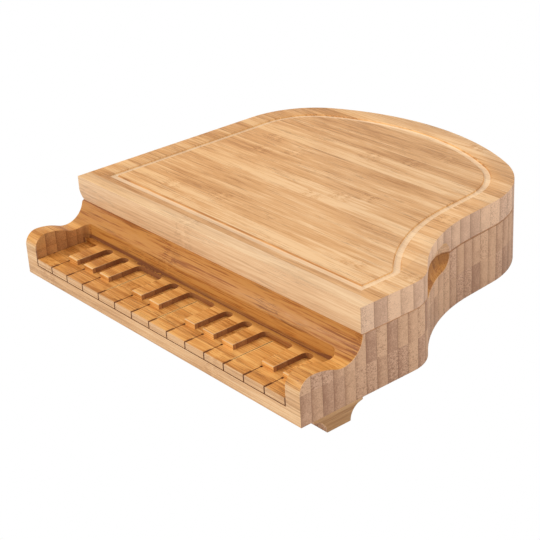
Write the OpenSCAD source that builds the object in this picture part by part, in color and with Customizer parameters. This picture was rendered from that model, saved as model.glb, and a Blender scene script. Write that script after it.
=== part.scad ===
// Cutting and serving board shaped like a small grand piano.
// The top board is a lid, hinged along the straight left side, over a base that stores three tools.
// Axes: X to the right, Y to the back, Z up. The origin is on the floor, under the middle of the plan.

/* [Body] */
// Overall width, left side to right side
body_w = 345; // [320:1:380]
// Overall depth, key front to tail
body_d = 340; // [328:1:370]
// Thickness of each of the two glued base boards
layer_t = 24.2; // [23.8:0.1:27]

/* [Plan outline] */
// Distance from the front to where the right side starts to bend in
bend_start = 108; // [98:1:120]
// Radius of the bend's outer corner
bend_outer_r = 33; // [24:1:45]
// Radius of the bend's hollow
bend_inner_r = 138; // [115:1:150]
// How far the tail's right side is set in, where the tail starts to round
tail_inset = 54; // [44:1:62]
// Lean of the tail's right side, in degrees
tail_lean = 5; // [2:1:8]
// Radius of the tail's right corner
tail_r = 82; // [72:1:90]
// Heading at which the tail corner meets the back curve, in degrees
tail_turn = 64; // [58:1:70]
// Heading at which the back curve meets the left corner, in degrees
back_turn = 118; // [112:1:124]
// Radius of the back left corner
corner_r = 74; // [62:1:84]

/* [Side profile] */
// Height of the nose above the underside of the base
nose_top = 36.3; // [34:0.1:40]
// Radius of the nose
nose_r = 11.5; // [9:0.5:11.5]
// Lowest height of the hollow behind the nose
dip_z = 30.3; // [28:0.1:33]
// Radius of the hollow that rises to the lid
cove_r = 19; // [18:0.5:21]
// Distance from the front to the back of the hollow
cove_back = 58.7; // [56:0.1:62]

/* [Lid] */
// Thickness of the lid
lid_t = 20.6; // [18:0.2:24]
// Distance from the front of the base to the front of the lid
lid_front = 57.1; // [54:0.1:60]
// Gap between the lid and the base
lid_gap = 0.4; // [0.3:0.05:0.8]
// Round on the lid's lower left edge, which swings down past the base
lid_edge_r = 11; // [10:0.5:12]
// Round on the base's upper left edge, below it
base_edge_r = 4; // [3.8:0.1:5]
// Small round on the lid's lower front edge
lid_nose_r = 1.6; // [0.8:0.1:3]

/* [Juice groove] */
// Distance from the lid's edge to the middle of the groove
groove_inset = 21.5; // [17:0.5:24]
// Width of the groove
groove_w = 7; // [5:0.5:9]
// Depth of the groove
groove_depth = 2; // [1.2:0.1:3.2]

/* [Key bed] */
// Thickness of the cheeks at both ends of the keys
cheek_t = 15; // [12:0.5:20]
// Number of white keys
white_keys = 14;
// Grooves between white keys that carry a black key
black_at = [1, 2, 3, 5, 6, 8, 9, 10, 12, 13];
// Height of the white keys above the underside of the base
white_top = 16.7; // [14:0.1:18]
// Height of the black keys
black_h = 4.3; // [3:0.1:5]
// Width of a black key
black_w = 12.5; // [10:0.5:15]
// Distance from the front to the front of the black keys
black_front = 17.3; // [14:0.1:20]
// Distance from the front to the back end of the slots between black keys
slot_back = 48; // [44:0.5:49]
// Radius of the slots' back corners
slot_r = 4.5; // [2.5:0.1:4.6]
// Distance from the front to the back wall of the key bed
bed_back = 51; // [50:0.1:52.5]
// Radius of the key bed's back corners
bed_r = 9; // [5:0.5:12]
// Height of the engraved line under the key fronts
line_z = 10.8; // [8:0.1:12]
// Width of the engraved line under the key fronts
line_w = 0.8; // [0.6:0.1:1.4]
// Depth of all lines engraved in the front face
line_depth = 1; // [0.6:0.1:1.6]
// Width of the cut between two key fronts
cut_w = 1.2; // [0.8:0.1:1.8]
// Length of the wide part of that cut
cut_len = 7; // [5:0.5:10]
// Width of the cut's thin part
thin_w = 0.7; // [0.5:0.1:1]
// Depth of the cut's thin part
thin_depth = 0.7; // [0.4:0.1:1]
// Radius of the dimple where a cut meets a black key
dimple_r = 1; // [0.6:0.1:1.4]

/* [Finger notch] */
// Half the height of the scoop that the lid and the base share
notch_h = 11; // [8:0.5:12]
// Depth of the scoop
notch_depth = 5.8; // [4:0.2:7]
// Length between the centres of the scoop's round ends
notch_len = 45; // [35:1:50]
// Heading of the edge at the middle of the scoop, in degrees
notch_turn = 29.5; // [26:0.5:31]

/* [Feet] */
// Height of the feet
foot_h = 14; // [12:0.5:18]
// Length of a foot along Y, at its top
foot_d = 46; // [42:1:50]
// Width of a foot along X
foot_w = 40; // [34:1:48]
// Radius of the hollows in a foot's front and back
foot_cove_r = 12; // [9:0.5:12]
// Distance from the front of the base to the front feet
foot_setback = 11; // [8:0.5:14]
// Distance from the back of the base to the tail foot
tail_foot_setback = 24; // [18:1:34]
// Distance between the two screws of a foot
foot_screw_gap = 22; // [16:1:24]
// Length of a foot screw
foot_screw_len = 24; // [20:1:26]
// Radius of a foot screw's shank
foot_screw_r = 2; // [1.6:0.1:2.4]
// Radius of a foot screw's head
foot_head_r = 4; // [3.6:0.1:4.6]

/* [Hinges] */
// Distance from the left side to the hinge axis
hinge_inset = 4; // [3.4:0.1:4.2]
// Length of a hinge
hinge_len = 50; // [40:1:60]
// Distance from the lid's front to the middle of the front hinge
hinge_front_at = 45; // [38:1:56]
// Distance between the middles of the two hinges
hinge_pitch = 110; // [92:1:120]
// Width of a leaf, from the axis
leaf_w = 20; // [18:0.5:22]
// Thickness of a leaf
leaf_t = 1.5; // [1.2:0.1:1.8]
// Outer radius of the knuckles
knuckle_r = 2.4; // [2.2:0.05:2.6]
// Number of knuckles
knuckles = 5; // [5:2:7]
// Radius of the hinge pin
pin_r = 1.2; // [1:0.05:1.3]
// Length of a hinge screw
hinge_screw_len = 12; // [10:0.5:14]
// Radius of a hinge screw's shank
hinge_screw_r = 1.3; // [1.1:0.05:1.5]
// Radius of a hinge screw's head
hinge_head_r = 2.6; // [2.4:0.1:3]
// Distance between neighbouring screws along a hinge
hinge_screw_pitch = 16; // [13:0.5:18]
// Distance from the axis to the outer screws
hinge_screw_x = 10; // [8:0.5:11]

/* [Lid pads] */
// Radius of the soft pads that the lid comes down on
pad_r = 4; // [3:0.5:5]
// Depth of the pads' seats in the base
pad_seat = 1.6; // [1:0.1:2.4]
// Distance from the lid's edge to the middle of a pad
pad_inset = 12; // [9:0.5:14]

/* [Tools] */
// Distance from the front of the base to the middle of the first tool
tool_front = 104; // [102:1:108]
// Distance between the middles of two tools
tool_pitch = 58; // [56:1:62]
// Distance from the left side to the butt of the handles
tool_left = 43; // [40:1:50]
// Length of a handle
handle_len = 92; // [85:1:100]
// Largest radius of a handle
handle_r = 9.5; // [8.5:0.1:10.5]
// Radius of a handle at its ends
handle_end_r = 7.6; // [7:0.1:8.2]
// Length of a ferrule
ferrule_len = 14; // [10:0.5:18]
// Wall of a ferrule
ferrule_wall = 1; // [0.6:0.1:1.4]
// Thickness of the blades
blade_t = 1.6; // [1.2:0.1:2.2]
// Width of the tangs inside the handles
tang_w = 8; // [6:0.5:9]
// Length of the tangs
tang_len = 36; // [24:1:45]
// Length of the knife's blade
knife_len = 98; // [85:1:104]
// Width of the knife's blade
knife_w = 24; // [18:0.5:28]
// Length of the fork
fork_len = 92; // [80:1:104]
// Width of the fork
fork_w = 17; // [14:0.5:20]
// Length of the gap between the fork's prongs
prong_len = 52; // [40:1:60]
// Width of the gap between the fork's prongs
prong_gap = 7; // [5:0.5:8]
// Length of the spade's blade
spade_len = 84; // [70:1:96]
// Width of the spade's edge
spade_w = 36; // [30:0.5:38]
// Width of the spade's neck
spade_neck_w = 14; // [12:0.5:14]
// Room around a tool in its pocket
pocket_room = 3; // [2:0.5:4]
// Radius of the finger hollows beside the handles
finger_r = 18; // [16:0.5:20]
// Radius of the pockets' corners
pocket_r = 6; // [3:0.5:8]

/* [Hidden] */

eps = 0.5;             // how far a cut runs past a face
lap = 0.02;            // how far neighbouring arcs overlap, so that they cross instead of touching
fit = 0.1;             // clearance of a part that is screwed or pushed in
run = 0.05;            // radial clearance of a hinge pin
knuckle_gap = 0.2;     // gap between two knuckles
knuckle_room = 0.4;    // room around the knuckles in the wood
lie = 0.1;             // a handle's height over the pocket floor
groove_steps = 3;
round_fn = 96;
small_fn = 36;

bamboo = [0.85, 0.67, 0.45];
bamboo_oiled = [0.80, 0.55, 0.30];
bamboo_end = [0.76, 0.62, 0.47];
steel = [0.72, 0.72, 0.72];
handle_wood = [0.62, 0.42, 0.24];
pad_grey = [0.25, 0.25, 0.25];

base_z = foot_h;
base_h = 2 * layer_t;
seam_z = base_z + layer_t;
base_top = base_z + base_h;
lid_z = base_top + lid_gap;
lid_top = lid_z + lid_t;
right = body_w / 2;
left = -right;
front = -body_d / 2;
back = body_d / 2;
lid_y = front + lid_front;

// Plan outline: lines and arcs that meet without a corner. A heading of 0 points to the back.
function ray(a) = [cos(a), sin(a)];
function rounded(v) = [round(v[0] * 1000) / 1000, round(v[1] * 1000) / 1000];
back_r = (body_w - tail_inset + tail_r * (cos(tail_turn) - cos(tail_lean))
    - corner_r * (1 + cos(back_turn))) / (cos(tail_turn) - cos(back_turn));
tail_y = back - tail_r * (sin(tail_turn) - sin(tail_lean)) - back_r * (1 - sin(tail_turn));
tail_point = [right - tail_inset, tail_y];
outer_c = [right - bend_outer_r, front + bend_start];
to_hollow = tail_point + bend_inner_r * ray(tail_lean) - outer_c;
along = to_hollow * [sin(tail_lean), -cos(tail_lean)];
slide = -along - sqrt(along * along - to_hollow * to_hollow + pow(bend_outer_r + bend_inner_r, 2));
inner_c = rounded(outer_c + to_hollow + slide * [sin(tail_lean), -cos(tail_lean)]);
bend_turn = atan2(inner_c[1] - outer_c[1], inner_c[0] - outer_c[0]);
tail_c = rounded(tail_point - tail_r * ray(tail_lean));
back_c = rounded([tail_c[0] + (tail_r - back_r) * cos(tail_turn), back - back_r]);
corner_c = rounded([left + corner_r, back_c[1] + (back_r - corner_r) * sin(back_turn)]);

function outline_points(inset) = [
    outer_c + (bend_outer_r - inset) * ray(0),
    outer_c + (bend_outer_r - inset) * ray(bend_turn),
    inner_c - (bend_inner_r + inset) * ray(tail_lean),
    tail_c + (tail_r - inset) * ray(tail_lean),
    tail_c + (tail_r - inset) * ray(tail_turn),
    back_c + (back_r - inset) * ray(back_turn),
    corner_c + (corner_r - inset) * ray(180)
];

// Side profile of the front
shoulder_dy = cove_back - cove_r - nose_r;
shoulder_dz = dip_z + cove_r - nose_top;
shoulder_r = (shoulder_dy * shoulder_dy + shoulder_dz * shoulder_dz - cove_r * cove_r)
    / (2 * (cove_r - shoulder_dz));
cove_c = [cove_back - cove_r, dip_z + cove_r];
shoulder_c = [nose_r, nose_top - shoulder_r];
inflection = shoulder_c + shoulder_r / (shoulder_r + cove_r) * (cove_c - shoulder_c);

// Keys
bed_w = body_w - 2 * cheek_t;
key_pitch = round(100 * bed_w / white_keys) / 100;
black_top = white_top + black_h;
function cut_x(k) = left + cheek_t + k * key_pitch;
function has_black(k) = len([for (b = black_at) if (b == k) b]) > 0;

// Hinges
hinge_x = left + hinge_inset;
hinge_z = base_top + lid_gap / 2;
hinge_mid = [lid_y + hinge_front_at, lid_y + hinge_front_at + hinge_pitch];
knuckle_len = hinge_len / knuckles;
hinge_head_h = hinge_head_r - hinge_screw_r;
hinge_screw_step = 5;  // the middle screw stands this much further from the axis

// Feet: middle of each in plan
foot_mid = [
    [left + foot_w / 2, front + foot_setback + foot_d / 2],
    [right - foot_w / 2, front + foot_setback + foot_d / 2],
    [back_c[0], back - tail_foot_setback - foot_d / 2]
];
foot_head_h = foot_head_r - foot_screw_r;

// Pads: front right, tail right and back
pad_places = [
    [right - pad_inset, lid_y + pad_inset],
    tail_c + (tail_r - pad_inset) * ray(tail_lean + 20),
    back_c + (back_r - pad_inset) * ray(90)
];

// Tools
tool_x = left + tool_left;
collar_x = tool_x + handle_len;
blade_x = collar_x + ferrule_len;
tool_z = seam_z + handle_r + lie;
tool_y = [for (i = [0 : 2]) front + tool_front + i * tool_pitch];
ferrule_r = handle_end_r;
spigot_r = ferrule_r - ferrule_wall - run;
blade_w = [knife_w, fork_w, spade_w];
tool_len = [knife_len, fork_len, spade_len];

// ---- shared shapes ----

module disc(centre, r) {
    translate(centre) circle(r = r, $fn = 2 * round_fn);
}

// The plan shape, drawn in by inset, from y_front to the tail
module plan(inset, y_front) {
    p = outline_points(inset);
    difference() {
        union() {
            polygon(concat(
                [[left + inset, y_front], [right - inset, y_front]],
                p
            ));
            disc(outer_c, bend_outer_r - inset);
            disc(tail_c, tail_r - inset + lap);
            intersection() {
                disc(corner_c, corner_r - inset + lap);
                translate([left + inset, front]) square(2 * body_w);
            }
            intersection() {
                disc(back_c, back_r - inset);
                translate([p[5][0], corner_c[1]])
                    square([p[4][0] - p[5][0], back]);
            }
        }
        disc(inner_c, bend_inner_r + inset + lap);
    }
}

module side_profile() {
    difference() {
        union() {
            polygon([
                [0, 0], [body_d, 0], [body_d, base_h],
                [cove_back, base_h], inflection, [nose_r, nose_top], [0, nose_top - nose_r]
            ]);
            disc([nose_r, nose_top - nose_r], nose_r);
            intersection() {
                disc(shoulder_c, shoulder_r);
                translate([nose_r, 0])
                    square([inflection[0] - nose_r, nose_top]);
            }
        }
        disc(cove_c, cove_r);
    }
}

// The whole base before its cuts, between two heights over its underside
module base_slab(z0, z1) {
    intersection() {
        translate([0, 0, base_z + z0])
            linear_extrude(z1 - z0) plan(0, front);
        translate([left - eps, front, base_z])
            rotate([90, 0, 90]) linear_extrude(body_w + 2 * eps) side_profile();
    }
}

// A rectangle from (x0, y0) to (x1, y1) with its two back corners rounded
module back_rounded(x0, y0, x1, y1, r) {
    translate([x0, y0]) square([x1 - x0, y1 - y0 - r]);
    translate([x0 + r, y0]) square([x1 - x0 - 2 * r, y1 - y0]);
    for (x = [x0 + r, x1 - r])
        translate([x, y1 - r]) circle(r = r, $fn = small_fn);
}

// A rectangle centred on Y with all corners rounded
module rounded_strip(x0, x1, w, r) {
    translate([x0 + r, -w / 2]) square([x1 - x0 - 2 * r, w]);
    translate([x0, -w / 2 + r]) square([x1 - x0, w - 2 * r]);
    for (x = [x0 + r, x1 - r], y = [-w / 2 + r, w / 2 - r])
        translate([x, y]) circle(r = r, $fn = small_fn);
}

// What a round of radius r takes off an edge at the origin, in the quarter of +X and +Y
module edge_cut(r) {
    difference() {
        translate([-eps, -eps]) square(0.985 * r + eps);
        translate([0.985 * r, 0.985 * r]) circle(r = r, $fn = round_fn);
    }
}

// A countersunk screw pointing up, with its head's face at the origin
module screw_body(len, shank_r, head_r, head_h, room) {
    rotate_extrude($fn = small_fn)
        polygon([
            [0, 0], [head_r + room, 0], [shank_r + room, head_h],
            [shank_r + room, len - 2 * shank_r], [0.3 * shank_r + room, len + room], [0, len + room]
        ]);
}

module cross_recess(head_r, depth) {
    for (a = [0, 90])
        rotate([0, 0, a])
            translate([-0.6 * head_r, -0.14 * head_r, -eps])
                cube([1.2 * head_r, 0.28 * head_r, depth + eps]);
}

module screw(len, shank_r, head_r, head_h) {
    difference() {
        screw_body(len, shank_r, head_r, head_h, 0);
        cross_recess(head_r, 0.5 * head_h);
    }
}

// ---- lid ----

// One step of the juice groove, as a band of width w and the given depth
module groove_band(w, depth) {
    k0 = groove_inset - w / 2;
    k1 = groove_inset + w / 2;
    translate([0, 0, lid_top - depth])
        linear_extrude(depth + eps)
            difference() {
                plan(k0, lid_y + k0);
                plan(k1, lid_y + k1);
            }
}

// A round-bottomed groove, in steps
module juice_groove() {
    round_r = (groove_w * groove_w / 4 + groove_depth * groove_depth) / (2 * groove_depth);
    for (i = [1 : groove_steps]) {
        level = round_r - groove_depth * (groove_steps - i + 0.5) / groove_steps;
        groove_band(2 * sqrt(round_r * round_r - level * level), groove_depth * i / groove_steps);
    }
}

module lid_board() {
    color(bamboo)
    difference() {
        translate([0, 0, lid_z])
            linear_extrude(lid_t) plan(0, lid_y);
        juice_groove();
        finger_notch();
        // round on the hinge side
        translate([left, back + eps, lid_z])
            rotate([90, 0, 0]) linear_extrude(body_d + 2 * eps) edge_cut(lid_edge_r);
        // round under the front edge
        translate([left - eps, lid_y, lid_z])
            rotate([90, 0, 90]) linear_extrude(body_w + 2 * eps) edge_cut(lid_nose_r);
        for (y = hinge_mid) {
            knuckle_cut(y);
            leaf_cut(y, lid_z - eps, lid_z + leaf_t);
            for (p = hinge_screw_places(y))
                translate([p[0], p[1], lid_z])
                    screw_body(hinge_screw_len, hinge_screw_r, hinge_head_r, hinge_head_h, fit);
        }
    }
}

// ---- base ----

module tool_pocket(i) {
    blade_pocket_w = max(blade_w[i], 2 * ferrule_r) + 2 * pocket_room;
    translate([0, tool_y[i], 0]) {
        rounded_strip(tool_x - pocket_room, blade_x + pocket_room,
            2 * handle_r + 2 * pocket_room, pocket_r);
        rounded_strip(collar_x, blade_x + tool_len[i] + pocket_room, blade_pocket_w, pocket_r);
        translate([tool_x + handle_len / 2, 0]) circle(r = finger_r, $fn = round_fn);
    }
}

// Cut by a ball that runs outside the edge. The ends are balls a little larger than the tube between
// them, so that no two faces of the scoop are tangent.
module finger_notch() {
    ball_r = (notch_h * notch_h + notch_depth * notch_depth) / (2 * notch_depth);
    path_r = bend_inner_r - ball_r + notch_depth;
    half = asin(notch_len / (2 * bend_inner_r));
    translate([inner_c[0], inner_c[1], hinge_z])
        rotate([0, 0, 180 + notch_turn]) {
            rotate([0, 0, -half])
                rotate_extrude(angle = 2 * half, $fn = 4 * round_fn)
                    translate([path_r, 0]) circle(r = ball_r, $fn = round_fn);
            for (s = [-1, 1])
                rotate([0, 0, s * (half - 0.4)])
                    translate([path_r, 0, 0]) sphere(r = ball_r + 0.2, $fn = round_fn);
        }
}

module key_bed(z0) {
    translate([0, front, base_z + z0])
        linear_extrude(base_h)
            back_rounded(left + cheek_t, -eps, right - cheek_t, bed_back, bed_r);
}

module lid_pads() {
    color(pad_grey)
    for (p = pad_places)
        translate([p[0], p[1], base_top - pad_seat])
            cylinder(r = pad_r, h = pad_seat + lid_gap, $fn = small_fn);
}

module base_upper_board() {
    color(bamboo_oiled)
    difference() {
        base_slab(layer_t, base_h);
        key_bed(black_top);
        translate([0, 0, seam_z - eps])
            linear_extrude(layer_t + 2 * eps)
                for (i = [0 : 2]) tool_pocket(i);
        finger_notch();
        for (p = pad_places)
            translate([p[0], p[1], base_top - pad_seat])
                cylinder(r = pad_r + fit, h = pad_seat + eps, $fn = small_fn);
        translate([left, front - eps, base_top])
            rotate([-90, 0, 0]) linear_extrude(body_d + 2 * eps) edge_cut(base_edge_r);
        for (y = hinge_mid) {
            knuckle_cut(y);
            leaf_cut(y, base_top - leaf_t, base_top + eps);
            for (p = hinge_screw_places(y))
                translate([p[0], p[1], base_top])
                    mirror([0, 0, 1])
                        screw_body(hinge_screw_len, hinge_screw_r, hinge_head_r, hinge_head_h, fit);
        }
    }
}

// The slots between the black keys, down to the white keys
module key_slots() {
    last = len(black_at);
    for (j = [0 : last]) {
        x0 = j == 0 ? left + cheek_t : cut_x(black_at[j - 1]) + black_w;
        x1 = j == last ? right - cheek_t : cut_x(black_at[j]);
        back_rounded(x0, black_front - eps, x1, slot_back, slot_r);
    }
}

module key_cuts() {
    z = base_z + white_top;
    for (k = [0 : white_keys]) {
        // upright cut in the front face
        x = min(max(cut_x(k), left + cheek_t + cut_w / 2), right - cheek_t - cut_w / 2);
        translate([x - cut_w / 2, front - eps, base_z + line_z])
            cube([cut_w, line_depth + eps, white_top - line_z + eps]);
    }
    for (k = [1 : white_keys - 1]) {
        thin_end = has_black(k) ? black_front : slot_back - 2;
        translate([cut_x(k) - cut_w / 2, front - eps, z - cut_w])
            cube([cut_w, cut_len + eps, cut_w + eps]);
        translate([cut_x(k) - thin_w / 2, front, z - thin_depth])
            cube([thin_w, thin_end, thin_depth + eps]);
        if (has_black(k))
            translate([cut_x(k), front + black_front - dimple_r / 2, z - 1.5 * dimple_r])
                cylinder(r = dimple_r, h = 1.5 * dimple_r + eps, $fn = 24);
    }
    // line under the key fronts
    translate([left + cheek_t, front - eps, base_z + line_z - line_w / 2])
        cube([bed_w, line_depth + eps, line_w]);
}

module base_lower_board() {
    color(bamboo_end)
    difference() {
        base_slab(0, layer_t);
        key_bed(black_top);
        // white keys in front of the black ones
        translate([left + cheek_t, front - eps, base_z + white_top])
            cube([bed_w, black_front + eps, base_h]);
        translate([0, front, base_z + white_top])
            linear_extrude(base_h) key_slots();
        key_cuts();
        for (m = foot_mid, s = [-1, 1])
            translate([m[0] + s * foot_screw_gap / 2, m[1], foot_screw_z])
                screw_body(foot_screw_len, foot_screw_r, foot_head_r, foot_head_h, fit);
    }
}

// ---- feet ----

foot_screw_z = 2;      // how deep the screw heads are sunk in the feet

module foot(m) {
    color(bamboo_end)
    translate([m[0], m[1], 0])
    difference() {
        translate([-foot_w / 2, -foot_d / 2, 0]) cube([foot_w, foot_d, foot_h]);
        for (y = [-foot_d / 2, foot_d / 2])
            translate([-foot_w / 2 - eps, y, 0])
                rotate([0, 90, 0]) cylinder(r = foot_cove_r, h = foot_w + 2 * eps, $fn = round_fn);
        for (s = [-1, 1])
            translate([s * foot_screw_gap / 2, 0, 0]) {
                translate([0, 0, foot_screw_z])
                    screw_body(foot_screw_len, foot_screw_r, foot_head_r, foot_head_h, fit);
                translate([0, 0, -eps])
                    cylinder(r = foot_head_r + fit, h = foot_screw_z + eps, $fn = small_fn);
            }
    }
}

module foot_screws() {
    color(steel)
    for (m = foot_mid, s = [-1, 1])
        translate([m[0] + s * foot_screw_gap / 2, m[1], foot_screw_z])
            screw(foot_screw_len, foot_screw_r, foot_head_r, foot_head_h);
}

// ---- hinges ----

// Screw places of the hinge whose middle is at y
function hinge_screw_places(y) = [
    for (s = [-1, 0, 1])
        [hinge_x + hinge_screw_x + (s == 0 ? hinge_screw_step : 0), y + s * hinge_screw_pitch]
];

module along_axis(y, r, len) {
    translate([hinge_x, y, hinge_z])
        rotate([-90, 0, 0]) cylinder(r = r, h = len, $fn = small_fn);
}

module knuckle_cut(y) {
    along_axis(y - hinge_len / 2 - 2 * knuckle_room, knuckle_r + knuckle_room,
        hinge_len + 4 * knuckle_room);
}

module leaf_cut(y, z0, z1) {
    translate([hinge_x, y - hinge_len / 2 - fit, z0])
        cube([leaf_w + fit, hinge_len + 2 * fit, z1 - z0]);
}

// A leaf whose plate is between z0 and z0 + leaf_t, with every second knuckle from first on
module leaf(y, z0, first) {
    y0 = y - hinge_len / 2;
    inner = hinge_x + knuckle_r + knuckle_room;
    difference() {
        union() {
            translate([inner, y0, z0])
                cube([hinge_x + leaf_w - inner, hinge_len, leaf_t]);
            for (i = [first : 2 : knuckles - 1]) {
                yk = y0 + i * knuckle_len + knuckle_gap / 2;
                along_axis(yk, knuckle_r, knuckle_len - knuckle_gap);
                translate([hinge_x, yk, z0])
                    cube([inner - hinge_x + eps, knuckle_len - knuckle_gap, leaf_t]);
            }
        }
        along_axis(y0 - eps, pin_r + run, hinge_len + 2 * eps);
        children();
    }
}

module base_leaf(y) {
    color(steel)
    leaf(y, base_top - leaf_t, 0)
        for (p = hinge_screw_places(y))
            translate([p[0], p[1], base_top])
                mirror([0, 0, 1])
                    screw_body(hinge_screw_len, hinge_screw_r, hinge_head_r, hinge_head_h, run);
}

module lid_leaf(y) {
    color(steel)
    leaf(y, lid_z, 1)
        for (p = hinge_screw_places(y))
            translate([p[0], p[1], lid_z])
                screw_body(hinge_screw_len, hinge_screw_r, hinge_head_r, hinge_head_h, run);
}

module hinge_pin(y) {
    color(steel)
    along_axis(y - hinge_len / 2, pin_r, hinge_len);
}

module hinge_base_screws() {
    color(steel)
    for (y = hinge_mid, p = hinge_screw_places(y))
        translate([p[0], p[1], base_top])
            mirror([0, 0, 1]) screw(hinge_screw_len, hinge_screw_r, hinge_head_r, hinge_head_h);
}

module hinge_lid_screws() {
    color(steel)
    for (y = hinge_mid, p = hinge_screw_places(y))
        translate([p[0], p[1], lid_z])
            screw(hinge_screw_len, hinge_screw_r, hinge_head_r, hinge_head_h);
}

// ---- tools ----

// Turns a shape drawn with its length along Y so that it lies along X at tool i
module turned(i, x) {
    translate([x, tool_y[i], tool_z])
        rotate([0, 90, 0]) rotate_extrude($fn = round_fn) children();
}

module handle(i) {
    swell = handle_r - handle_end_r;
    barrel_r = (handle_len * handle_len / 4 + swell * swell) / (2 * swell);
    color(handle_wood)
    difference() {
        union() {
            turned(i, tool_x)
                intersection() {
                    square([handle_r, handle_len]);
                    translate([handle_r - barrel_r, handle_len / 2])
                        circle(r = barrel_r, $fn = 8 * round_fn);
                }
            turned(i, collar_x) square([spigot_r, ferrule_len - run]);
        }
        translate([blade_x - tang_len - fit, tool_y[i] - tang_w / 2 - fit, tool_z - blade_t / 2 - fit])
            cube([tang_len + eps, tang_w + 2 * fit, blade_t + 2 * fit]);
    }
}

module ferrule(i) {
    color(steel)
    turned(i, collar_x)
        translate([ferrule_r - ferrule_wall, 0]) square([ferrule_wall, ferrule_len]);
}

// A flat blade with its tang, drawn from the ferrule's mouth along X
module blade(i) {
    color(steel)
    translate([blade_x, tool_y[i], tool_z - blade_t / 2])
        linear_extrude(blade_t) {
            translate([-tang_len, -tang_w / 2]) square([tang_len + eps, tang_w]);
            children();
        }
}

module knife_shape() {
    translate([0, -knife_w / 2]) square([knife_len - knife_w, knife_w]);
    intersection() {
        translate([knife_len - knife_w, -knife_w / 2]) square(knife_w);
        translate([knife_len - knife_w, knife_w / 2]) circle(r = knife_w, $fn = round_fn);
    }
}

module fork_shape() {
    prong_w = (fork_w - prong_gap) / 2;
    difference() {
        rounded_strip(0, fork_len - prong_w / 2, fork_w, prong_w / 2);
        translate([fork_len - prong_len, -prong_gap / 2]) square([prong_len, prong_gap]);
        translate([fork_len - prong_len, 0]) circle(r = prong_gap / 2, $fn = small_fn);
    }
}

module spade_shape() {
    polygon([
        [0, -spade_neck_w / 2], [0.3 * spade_len, -spade_neck_w / 2],
        [0.55 * spade_len, -spade_w / 2], [spade_len, -spade_w / 2],
        [spade_len, spade_w / 2], [0.55 * spade_len, spade_w / 2],
        [0.3 * spade_len, spade_neck_w / 2], [0, spade_neck_w / 2]
    ]);
}

module knife_blade() { blade(0) knife_shape(); }
module fork_tines() { blade(1) fork_shape(); }
module spade_blade() { blade(2) spade_shape(); }

lid_board();
base_upper_board();
base_lower_board();
foot(foot_mid[0]);  // foot_front_left
foot(foot_mid[1]);  // foot_front_right
foot(foot_mid[2]);  // foot_tail
foot_screws();
base_leaf(hinge_mid[0]);  // front_hinge_base_leaf
lid_leaf(hinge_mid[0]);  // front_hinge_lid_leaf
hinge_pin(hinge_mid[0]);  // front_hinge_pin
base_leaf(hinge_mid[1]);  // back_hinge_base_leaf
lid_leaf(hinge_mid[1]);  // back_hinge_lid_leaf
hinge_pin(hinge_mid[1]);  // back_hinge_pin
hinge_base_screws();
hinge_lid_screws();
lid_pads();
knife_blade();
ferrule(0);  // knife_ferrule
handle(0);  // knife_handle
fork_tines();
ferrule(1);  // fork_ferrule
handle(1);  // fork_handle
spade_blade();
ferrule(2);  // spade_ferrule
handle(2);  // spade_handle
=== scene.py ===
import math

import bmesh
import bpy
from mathutils import Matrix, Vector


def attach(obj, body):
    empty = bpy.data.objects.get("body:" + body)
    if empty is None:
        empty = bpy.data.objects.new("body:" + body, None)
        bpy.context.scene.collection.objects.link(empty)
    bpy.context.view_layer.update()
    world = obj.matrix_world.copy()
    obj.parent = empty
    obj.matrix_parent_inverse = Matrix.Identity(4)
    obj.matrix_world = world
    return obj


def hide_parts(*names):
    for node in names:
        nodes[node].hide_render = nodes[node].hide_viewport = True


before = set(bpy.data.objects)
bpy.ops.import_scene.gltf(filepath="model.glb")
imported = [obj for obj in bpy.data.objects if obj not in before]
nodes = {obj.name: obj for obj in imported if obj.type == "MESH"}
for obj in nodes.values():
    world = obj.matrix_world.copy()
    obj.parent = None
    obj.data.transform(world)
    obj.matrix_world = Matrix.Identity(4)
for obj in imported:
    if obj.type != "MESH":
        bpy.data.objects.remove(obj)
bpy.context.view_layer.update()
print("stage: frame loaded")

# Sizes shared with the part, in metres, and the numbers of the cuts without a black key
board = {
    "front": -0.170,
    "halfWidth": 0.1725,
    "footHeight": 0.014,
    "layer": 0.0242,
    "baseTop": 0.0624,
    "lidFront": -0.1129,
    "lidBottom": 0.0628,
    "lidTop": 0.0834,
    "grooveDepth": 0.002,
    "cheekInside": 0.1575,
    "keyPitch": 0.0225,
    "whiteTop": 0.0307,
    "blackTop": 0.0350,
    "engravedLine": 0.0248,
    "openCuts": (4.0, 7.0, 11.0),
    "bendCentre": (0.258772, 0.060536),
    "bendRadius": 0.138,
    "scoop": (0.1382, -0.0077),
}

# The bamboo: linear colours, and the width of its strips
bamboo = {
    "lidStrip": 0.0126,
    "baseStrip": 0.01016,
    "pale": (0.90, 0.575, 0.300),
    "mid": (0.75, 0.405, 0.168),
    "deep": (0.50, 0.225, 0.068),
    "streak": (0.25, 0.095, 0.028),
    "paleAndLitTone": (0.98, 0.79, 0.55),
    "endPale": (0.70, 0.44, 0.285),
    "endDeep": (0.37, 0.195, 0.115),
    "endBleached": (0.66, 0.53, 0.40),
    "glue": (0.17, 0.070, 0.032),
    "oilTint": (0.96, 0.77, 0.42),
    "coveTint": (0.65, 0.55, 0.41),
    "burntAndShade": (0.19, 0.056, 0.016),
    "creamTint": (1.03, 1.01, 0.97),
    "violetTint": (0.98, 0.96, 0.98),
}

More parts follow.
